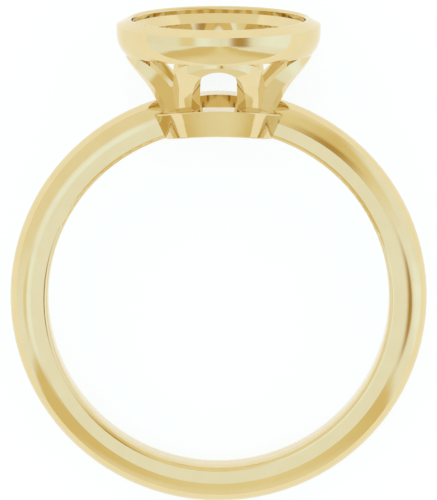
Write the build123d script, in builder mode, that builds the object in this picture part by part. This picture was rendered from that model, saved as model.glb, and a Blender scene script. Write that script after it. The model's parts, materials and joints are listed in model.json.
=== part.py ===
from build123d import *
from math import asin, atan2, cos, hypot, radians, sin, sqrt
import os

# A bezel engagement ring mounting in yellow gold, with its cup open and no stone in it. The band,
# the collar, the four arches of the gallery and the bezel cup are cast and soldered into one piece
# of metal, so they are joined into one solid here. All lengths are in millimetres.
#
# Every piece is drawn in the ring's own frame, set on ring_plane below: x runs across the ring,
# y from the middle of the finger hole up through the head, and z along the finger. Radii in the
# head are measured from the y axis, and heights in the head from the middle of the finger hole.

# Band
finger_diameter = 17.35
band_width = 2.15
band_thickness = 1.96
bore_land_width = 0.70
comfort_rise = 0.08
comfort_edge_radius = 0.22

# Collar, the tapered round plate that carries the head across the top of the band
collar_thickness = 1.40
collar_foot_radius = 3.05
collar_rim_radius = 3.66
collar_rim_chamfer = 0.05
collar_foot_round = 0.10
collar_hole_radius = 2.2
shoulder_cut_radius = 2.90

# Bezel cup. Its heights are steps up from its own foot, and its radii steps in from bezel_radius.
bezel_radius = 5.19
bezel_undercut = 0.39
bezel_curve_height = 1.02
bezel_side_height = 0.42
lip_rise = 0.41
lip_thickness = 0.79
lip_radius = 0.15
mouth_depth = 0.45
seat_width = 0.47
seat_depth = 0.445

# Gallery, a flared wall cut into four upright arches
gallery_height = 2.50
flare_foot_radius = 2.93
solder_depth = 0.15

# The flare's section, from its foot inside the collar up to the bezel. Each height is a share of
# gallery_height above the collar. Each outside radius is a share of the way from flare_foot_radius
# to the foot of the bezel, and each inside radius of the way from the collar's hole to the cup's
# bore.
flare_section = (
    # height, outside, inside
    (-0.35, 0.00, 0.00),
    (0.05, 0.235, 0.14),
    (0.41, 0.485, 0.43),
    (0.75, 0.81, 0.79),
    (1.06, 1.03, 1.05),
)

# Each arch is the metal of the flare inside two blocks, one for its sides and one for the bevel
# round its front, less a third block for its window. A block runs between two door shapes, on
# planes that lean out with the flare. A door has straight sides up to its spring line and half an
# ellipse above it. Springs are heights above the arch's foot, and tops heights above the bezel's
# foot. Half widths and tops are those of the front door, and change by the next size for each
# millimetre of depth.
door_front = 0.30
door_back = 1.90
arch_front_half_width = 3.98
arch_narrowing = 1.02
arch_spring = -0.27
arch_top = 0.02
bevel_front_half_width = 1.62
bevel_widening = 0.44
bevel_spring = 0.90
bevel_front_top = -0.60
bevel_top_rise = 1.48
window_front_half_width = 1.70
window_narrowing = 0.60
window_spring = 0.18
window_top = -0.43

finger_radius = finger_diameter / 2
crest_radius = finger_radius + band_thickness
collar_top = finger_radius + collar_thickness
half_band = band_width / 2

# The outside of the band is half round, and runs straight on into its two flat sides.
round_centre_radius = crest_radius - half_band

# The lower wall of the bezel is one arc that ends upright.
bezel_foot_height = collar_top + gallery_height
bezel_foot_radius = bezel_radius - bezel_undercut
bezel_curve_radius = (bezel_curve_height**2 + bezel_undercut**2) / (2 * bezel_undercut)
bezel_curve_top = bezel_foot_height + bezel_curve_height
bezel_crease_height = bezel_curve_top + bezel_side_height

# The lip is the rounded corner where the top bevel would meet the upright wall of the mouth.
mouth_radius = bezel_radius - lip_thickness
mouth_corner_height = bezel_crease_height + lip_rise
lip_turn = radians(90) + atan2(lip_rise, lip_thickness)
lip_centre_height = mouth_corner_height - lip_radius * sin(lip_turn / 2) / cos(lip_turn / 2)
lip_centre_radius = mouth_radius + lip_radius
seat_top_height = mouth_corner_height - mouth_depth
cup_bore_radius = mouth_radius - seat_width

# The ring lies on its side on the level surface z = 0. It touches that surface in two places, at
# the half-round outside of the band and at the lower wall of the bezel, and both are arcs in the
# plane x = 0. The lean of the ring is the slope of the line that touches both arcs from below.
reach = bezel_curve_top + round_centre_radius
drop = bezel_radius - bezel_curve_radius
lean = atan2(drop, reach) + asin((bezel_curve_radius - half_band) / hypot(reach, drop))
rest_height = half_band + round_centre_radius * sin(lean)

# The row's origin is on the surface, under the middle of the ring's length.
head_end = lip_centre_height * cos(lean) + lip_centre_radius * sin(lean) + lip_radius
band_end = round_centre_radius * cos(lean) + half_band
rest_offset = (band_end - head_end) / 2

ring_plane = Plane(
    origin=(0, rest_offset, rest_height),
    x_dir=(1, 0, 0),
    z_dir=(0, -sin(lean), cos(lean)),
)
# Sections of the band are drawn across it, with x outward from the finger and y along the finger.
section_plane = Plane(origin=ring_plane.origin, x_dir=ring_plane.x_dir, z_dir=-ring_plane.y_dir)
finger_axis = Axis(ring_plane.origin, ring_plane.z_dir)
head_axis = Axis(ring_plane.origin, ring_plane.y_dir)

# The band: half round outside, flat at its two sides, and inside a true cylinder that curves away
# towards both edges.
with BuildPart() as band:
    with BuildSketch(section_plane) as band_section:
        with BuildLine():
            Line((finger_radius, -bore_land_width / 2), (finger_radius, bore_land_width / 2))
            TangentArc(
                (finger_radius, bore_land_width / 2),
                (finger_radius + comfort_rise, half_band),
                tangent=(0, 1),
            )
            Line((finger_radius + comfort_rise, half_band), (round_centre_radius, half_band))
            ThreePointArc(
                (round_centre_radius, half_band),
                (crest_radius, 0),
                (round_centre_radius, -half_band),
            )
            Line((round_centre_radius, -half_band), (finger_radius + comfort_rise, -half_band))
            TangentArc(
                (finger_radius, -bore_land_width / 2),
                (finger_radius + comfort_rise, -half_band),
                tangent=(0, -1),
            )
        make_face()
        fillet(band_section.vertices().group_by(Axis.X)[1], comfort_edge_radius)
    revolve(axis=finger_axis)

# The collar: a cone about the head's axis, kept between two cylinders about the finger.
collar_taper = (collar_rim_radius - collar_foot_radius) / collar_thickness
cone_foot_height = sqrt(finger_radius**2 - collar_rim_radius**2) - collar_thickness
cone_foot_radius = collar_foot_radius + collar_taper * (cone_foot_height - finger_radius)

with BuildPart() as collar:
    with BuildSketch(ring_plane):
        with BuildLine():
            Polyline(
                (0, cone_foot_height),
                (cone_foot_radius, cone_foot_height),
                (collar_rim_radius, collar_top),
                (0, collar_top),
                close=True,
            )
        make_face()
    revolve(axis=head_axis)
    with BuildSketch(ring_plane):
        Circle(collar_top)
        Circle(finger_radius, mode=Mode.SUBTRACT)
    extrude(amount=2 * collar_rim_radius, both=True, mode=Mode.INTERSECT)
    rim_faces = collar.faces().filter_by(GeomType.CYLINDER).sort_by(SortBy.AREA)
    chamfer(rim_faces[-1].edges(), collar_rim_chamfer)
    foot_faces = collar.faces().filter_by(GeomType.CYLINDER).sort_by(SortBy.AREA)
    fillet(foot_faces[0].edges(), collar_foot_round)

# The flared wall of the gallery, with its foot sunk in the collar and its top in the bezel.
flare_spread = bezel_foot_radius - flare_foot_radius
bore_spread = cup_bore_radius - collar_hole_radius
flare_outside = []
flare_inside = []
for height, outside, inside in flare_section:
    level = collar_top + height * gallery_height
    flare_outside.append((flare_foot_radius + outside * flare_spread, level))
    flare_inside.append((collar_hole_radius + inside * bore_spread, level))

with BuildPart() as flare:
    with BuildSketch(ring_plane):
        with BuildLine():
            Spline(*flare_outside)
            Line(flare_outside[-1], flare_inside[-1])
            Spline(*flare_inside)
            Line(flare_inside[0], flare_outside[0])
        make_face()
    revolve(axis=head_axis)

# One arch, on the side that faces up. Its planes lean from its foot on the collar to the foot of
# the bezel.
arch_foot_radius, arch_foot_height = flare_outside[1]
lean_out = atan2(bezel_foot_radius - arch_foot_radius, bezel_foot_height - arch_foot_height)
arch_plane = Plane(
    origin=ring_plane.from_local_coords((0, arch_foot_height, arch_foot_radius)),
    x_dir=ring_plane.x_dir,
    z_dir=ring_plane.z_dir * cos(lean_out) - ring_plane.y_dir * sin(lean_out),
)
arch_slant = hypot(bezel_foot_radius - arch_foot_radius, bezel_foot_height - arch_foot_height)
door_distance = door_front + door_back


def door(depth, half_width, spring, top):
    with BuildSketch(arch_plane.offset(-depth)) as outline:
        with BuildLine():
            Polyline(
                (-half_width, spring),
                (-half_width, -collar_thickness),
                (half_width, -collar_thickness),
                (half_width, spring),
            )
            EllipticalCenterArc(
                (0, spring), half_width, arch_slant + top - spring, start_angle=0, arc_size=180
            )
        make_face()
    return outline.sketch.face()


arch_back_half_width = arch_front_half_width - arch_narrowing * door_distance
arch_front = door(-door_front, arch_front_half_width, arch_spring, arch_top)
arch_back = door(door_back, arch_back_half_width, arch_spring, arch_top)

bevel_back_half_width = bevel_front_half_width + bevel_widening * door_distance
bevel_back_top = bevel_front_top + bevel_top_rise * door_distance
bevel_front = door(-door_front, bevel_front_half_width, bevel_spring, bevel_front_top)
bevel_back = door(door_back, bevel_back_half_width, bevel_spring, bevel_back_top)

with BuildPart() as arch:
    loft([arch_front, arch_back], ruled=True)
    loft([bevel_front, bevel_back], ruled=True, mode=Mode.INTERSECT)

window_back_half_width = window_front_half_width - window_narrowing * door_distance
window_front = door(-door_front, window_front_half_width, window_spring, window_top)
window_back = door(door_back, window_back_half_width, window_spring, window_top)
with BuildPart() as window:
    loft([window_front, window_back], ruled=True)

with BuildPart() as gallery:
    for turn in range(4):
        add(arch.part.rotate(head_axis, 90 * turn))
    add(flare.part, mode=Mode.INTERSECT)
    for turn in range(4):
        add(window.part.rotate(head_axis, 90 * turn), mode=Mode.SUBTRACT)
    with BuildSketch(ring_plane):
        Circle(collar_top - solder_depth)
    extrude(amount=2 * collar_rim_radius, both=True, mode=Mode.SUBTRACT)

# The bezel cup: a flat foot, a lower wall that curves out and up, an upright wall, a bevel up to
# the rounded lip, and inside it the stone's sloping seat over a smaller bore.
with BuildPart() as bezel:
    with BuildSketch(ring_plane) as bezel_section:
        with BuildLine():
            TangentArc(
                (bezel_radius, bezel_curve_top),
                (bezel_foot_radius, bezel_foot_height),
                tangent=(0, -1),
            )
            Polyline(
                (bezel_foot_radius, bezel_foot_height),
                (cup_bore_radius, bezel_foot_height),
                (cup_bore_radius, seat_top_height - seat_depth),
                (mouth_radius, seat_top_height),
                (mouth_radius, mouth_corner_height),
                (bezel_radius, bezel_crease_height),
                (bezel_radius, bezel_curve_top),
            )
        make_face()
        fillet(bezel_section.vertices().sort_by(Axis.Y)[-1], lip_radius)
    revolve(axis=head_axis)

# Inside the collar the band is cut away, and the collar's hole goes through below the gallery.
head_plane = Plane(origin=ring_plane.origin, x_dir=ring_plane.x_dir, z_dir=ring_plane.y_dir)
with BuildPart() as ring:
    add(band.part)
    with BuildSketch(head_plane):
        Circle(shoulder_cut_radius)
    extrude(amount=mouth_corner_height, mode=Mode.SUBTRACT)
    add(collar.part)
    with BuildSketch(head_plane):
        Circle(collar_hole_radius)
    extrude(amount=mouth_corner_height, mode=Mode.SUBTRACT)
    add(gallery.part)
    add(bezel.part)

ring.part.label = "ring"
os.makedirs("parts", exist_ok=True)
export_step(ring.part, "parts/ring.step")
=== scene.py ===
import json
from math import cos, radians, sin

import bpy
from mathutils import Matrix, Vector

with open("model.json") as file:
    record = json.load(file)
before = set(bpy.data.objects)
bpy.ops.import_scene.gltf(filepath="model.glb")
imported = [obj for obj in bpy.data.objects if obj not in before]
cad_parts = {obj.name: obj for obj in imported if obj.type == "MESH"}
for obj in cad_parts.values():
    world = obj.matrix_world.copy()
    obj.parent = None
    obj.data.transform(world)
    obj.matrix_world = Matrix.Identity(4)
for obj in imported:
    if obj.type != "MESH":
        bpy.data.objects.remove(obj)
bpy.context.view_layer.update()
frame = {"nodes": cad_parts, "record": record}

MM = 0.001
scene = bpy.context.scene

# The ring lies on its side, so its own directions come from the bores in its record: the middle of
# the finger hole, the finger's axis, and the axis of the head, which stands square to it.
mounts = {mount["name"]: mount for mount in frame["record"]["mounts"]}
ring_centre = Vector(mounts["finger_hole"]["pos_m"])
finger_axis = Vector(mounts["finger_hole"]["axis"]).normalized()
head_axis = Vector(mounts["stone_mouth"]["axis"]).normalized()

# The colour sockets of a Mix node share their names with others, so they go by number.
MIX_FIRST, MIX_SECOND, MIX_RESULT = 6, 7, 2


class Nodes:
    """A node tree that is filled in from here."""

    def __init__(self, tree):
        self.tree = tree
        tree.nodes.clear()

    def add(self, kind, sockets=None, **settings):
        """Add a node: its settings first, then the value or the link of each socket."""
        node = self.tree.nodes.new(kind)
        for name, value in settings.items():
            setattr(node, name, value)
        for name, value in (sockets or {}).items():
            self.feed(node.inputs[name], value)
        return node

    def feed(self, socket, value):
        if isinstance(value, Number):
            value = value.socket
        if isinstance(value, bpy.types.NodeSocket):
            self.tree.links.new(value, socket)
        elif socket.type == "RGBA":
            socket.default_value = (*value, 1.0)
        else:
            socket.default_value = value

    def mix(self, factor, first, second):
        """The first colour where factor is 0, and the second where it is 1."""
        sockets = {"Factor": factor, MIX_FIRST: first, MIX_SECOND: second}
        return self.add("ShaderNodeMix", sockets, data_type="RGBA").outputs[MIX_RESULT]


class Number:
    """A number that changes from place to place, with the usual arithmetic."""

    def __init__(self, nodes, socket):
        self.nodes = nodes
        self.socket = socket

    def math(self, operation, *others):
        sockets = dict(enumerate((self, *others)))
        node = self.nodes.add("ShaderNodeMath", sockets, operation=operation)
        return Number(self.nodes, node.outputs["Value"])

    def __add__(self, other):
        return self.math("ADD", other)

    __radd__ = __add__

    def __sub__(self, other):
        return self.math("SUBTRACT", other)

    def __rsub__(self, other):
        return self * -1.0 + other

    def __mul__(self, other):
        return self.math("MULTIPLY", other)

    __rmul__ = __mul__

    def __truediv__(self, other):
        return self.math("DIVIDE", other)

    def __pow__(self, other):
        return self.math("POWER", other)

    def step(self, start, end):
        """0 below start and 1 above end, smooth between them."""
        sockets = {"Value": self, "From Min": start, "From Max": end}
        node = self.nodes.add("ShaderNodeMapRange", sockets, interpolation_type="SMOOTHSTEP")
        return Number(self.nodes, node.outputs["Result"])

    def band(self, low, high, soft):
        """1 between low and high, with edges that fade over soft to each side."""
        return self.step(low - soft, low + soft) * (1.0 - self.step(high - soft, high + soft))


def make_material(name, finish):
    """A material with the shader sockets that finish works out for it."""
    material = bpy.data.materials.new(name)
    material.use_nodes = True
    nodes = Nodes(material.node_tree)
    shader = nodes.add("ShaderNodeBsdfPrincipled", finish(nodes))
    nodes.add("ShaderNodeOutputMaterial", {"Surface": shader.outputs["BSDF"]})
    return material


# Polished 14-karat yellow gold. It is nearly a mirror, with a haze that comes and goes over a
# millimetre and finer marks of the polishing mop.
DEEP_GOLD = (0.80, 0.645, 0.345)
PALE_GOLD = (0.815, 0.665, 0.365)
HAZE_SCALE = 900.0
HAZE_DETAIL = 3.0
HAZE_ROUGHNESS = 0.03
MOP_SCALE = 4200.0
MOP_DETAIL = 2.0
MOP_ROUGHNESS = 0.012
POLISH_ROUGHNESS = 0.045


def polished_gold(nodes):
    place = nodes.add("ShaderNodeTexCoord").outputs["Object"]

    def noise(scale, detail):
        sockets = {"Vector": place, "Scale": scale, "Detail": detail}
        return Number(nodes, nodes.add("ShaderNodeTexNoise", sockets).outputs["Fac"])

    haze = noise(HAZE_SCALE, HAZE_DETAIL)
    mop = noise(MOP_SCALE, MOP_DETAIL)
    return {
        "Base Color": nodes.mix(haze.step(0.3, 0.7), DEEP_GOLD, PALE_GOLD),
        "Metallic": 1.0,
        "Roughness": POLISH_ROUGHNESS + HAZE_ROUGHNESS * haze + MOP_ROUGHNESS * mop,
    }


gold = make_material("polished_yellow_gold", polished_gold)
for node in frame["nodes"].values():
    node.data.materials.clear()
    node.data.materials.append(gold)

# The floor is a light table, so that it stays white close to the metal.
TABLE_REACH = 0.6
TABLE_GREY = (0.30, 0.30, 0.30)
TABLE_GLOW = (0.74, 0.775, 0.80)


def light_table(nodes):
    return {
        "Base Color": TABLE_GREY,
        "Roughness": 0.9,
        "Specular IOR Level": 0.1,
        "Emission Color": TABLE_GLOW,
        "Emission Strength": 1.0,
    }


corners = [(x * TABLE_REACH, y * TABLE_REACH, 0) for x, y in ((-1, -1), (1, -1), (1, 1), (-1, 1))]
floor_mesh = bpy.data.meshes.new("floor")
floor_mesh.from_pydata(corners, [], [(0, 1, 2, 3)])
floor_mesh.materials.append(make_material("pale_floor", light_table))
floor = bpy.data.objects.new("floor", floor_mesh)
scene.collection.objects.link(floor)

# Soft studio light: a pale room of large plain panels above the ring, which meet at one corner. A
# direction into the room is given by across, to the right of the head, and along, from the foot of
# the band towards the head. A bearing goes round the corner, in degrees from the right.
CREAM = (0.95, 1.07, 1.25)
LIGHT = (1.00, 1.20, 1.55)
HONEY = (0.90, 0.88, 0.68)
STRAW = (0.92, 0.93, 0.84)
TAN = (0.80, 0.71, 0.41)
AMBER = (0.50, 0.33, 0.09)
CORNER = -0.35

world = bpy.data.worlds.new("studio")
world.use_nodes = True
scene.world = world
sky = Nodes(world.node_tree)
direction = sky.add("ShaderNodeTexCoord").outputs["Generated"]
split = sky.add("ShaderNodeSeparateXYZ", {"Vector": direction})
across, along = (Number(sky, split.outputs[axis]) for axis in "XY")
past_corner = along - CORNER
bearing = past_corner.math("ARCTAN2", across)
near = 1.0 - (across * across + past_corner * past_corner).math("SQRT").step(0.35, 0.75)


def between(low, high, soft):
    """1 between two bearings, in degrees."""
    return bearing.band(radians(low), radians(high), radians(soft))


def spot(x, y, width, height):
    """1 in the middle of an oval of directions, fading away to nothing round it."""
    reach = ((across - x) / width) ** 2.0 + ((along - y) / height) ** 2.0
    return (reach * reach * -1.0).math("EXPONENT")


low_panel = sky.mix(between(-112, -50, 22), TAN, HONEY)
low_panel = sky.mix(1.0 - along.step(-0.97, -0.74), low_panel, STRAW)
warm_strip = between(46, 62, 10)
warm_panel = sky.mix(warm_strip, HONEY, TAN)
warm_panel = sky.mix(warm_strip * near, warm_panel, AMBER)

room = sky.mix(between(96, 165, 14) * (1.0 - near), CREAM, STRAW)
room = sky.mix(between(108, 160, 16) * near, room, LIGHT)
room = sky.mix(between(-166, -22, 4) * across.band(-0.78, 0.80, 0.05), room, low_panel)
room = sky.mix(between(32, 104, 12) * (1.0 - across.step(0.64, 0.84)), room, warm_panel)
room = sky.mix(along.step(0.66, 0.86), room, STRAW)
for x, y, width, height, colour in (
    (0.92, -0.24, 0.20, 0.20, LIGHT),
    (-0.58, -0.30, 0.14, 0.12, HONEY),
    (-0.27, -0.35, 0.18, 0.09, LIGHT),
    (0.41, -0.34, 0.19, 0.11, AMBER),
    (-0.03, -0.335, 0.15, 0.10, CREAM),
):
    room = sky.mix(spot(x, y, width, height), room, colour)
background = sky.add("ShaderNodeBackground", {"Color": room})
sky.add("ShaderNodeOutputWorld", {"Surface": background.outputs["Background"]})

scene.view_settings.view_transform = "Standard"
scene.view_settings.look = "None"
scene.view_settings.exposure = 0.0

# The camera looks through the finger hole from a little above, towards the head, with a long lens.
# Its distance and its aim are counted in pixels of the picture.
PIXEL = 0.0510595 * MM
PICTURE_HEIGHT = 500
CAMERA_DISTANCE = 7000
AIM_ABOVE_CENTRE = 46.15
AIM_LEFT_OF_CENTRE = 0.12
CAMERA_ELEVATION = radians(9.7)
SENSOR_HEIGHT = 24.0

toward_camera = finger_axis * cos(CAMERA_ELEVATION) + head_axis * sin(CAMERA_ELEVATION)
up = head_axis * cos(CAMERA_ELEVATION) - finger_axis * sin(CAMERA_ELEVATION)
right = up.cross(toward_camera)
aim = ring_centre + up * (AIM_ABOVE_CENTRE * PIXEL) - right * (AIM_LEFT_OF_CENTRE * PIXEL)
camera_place = aim + toward_camera * (CAMERA_DISTANCE * PIXEL)
camera_data = bpy.data.cameras.new("camera")
camera_data.sensor_fit = "VERTICAL"
camera_data.sensor_height = SENSOR_HEIGHT
camera_data.lens = SENSOR_HEIGHT * CAMERA_DISTANCE / PICTURE_HEIGHT
camera_data.clip_start = 0.01
camera_data.clip_end = 10.0
camera = bpy.data.objects.new("camera", camera_data)
turn = Matrix((right, up, toward_camera)).transposed().to_4x4()
camera.matrix_world = Matrix.Translation(camera_place) @ turn
scene.collection.objects.link(camera)
scene.camera = camera
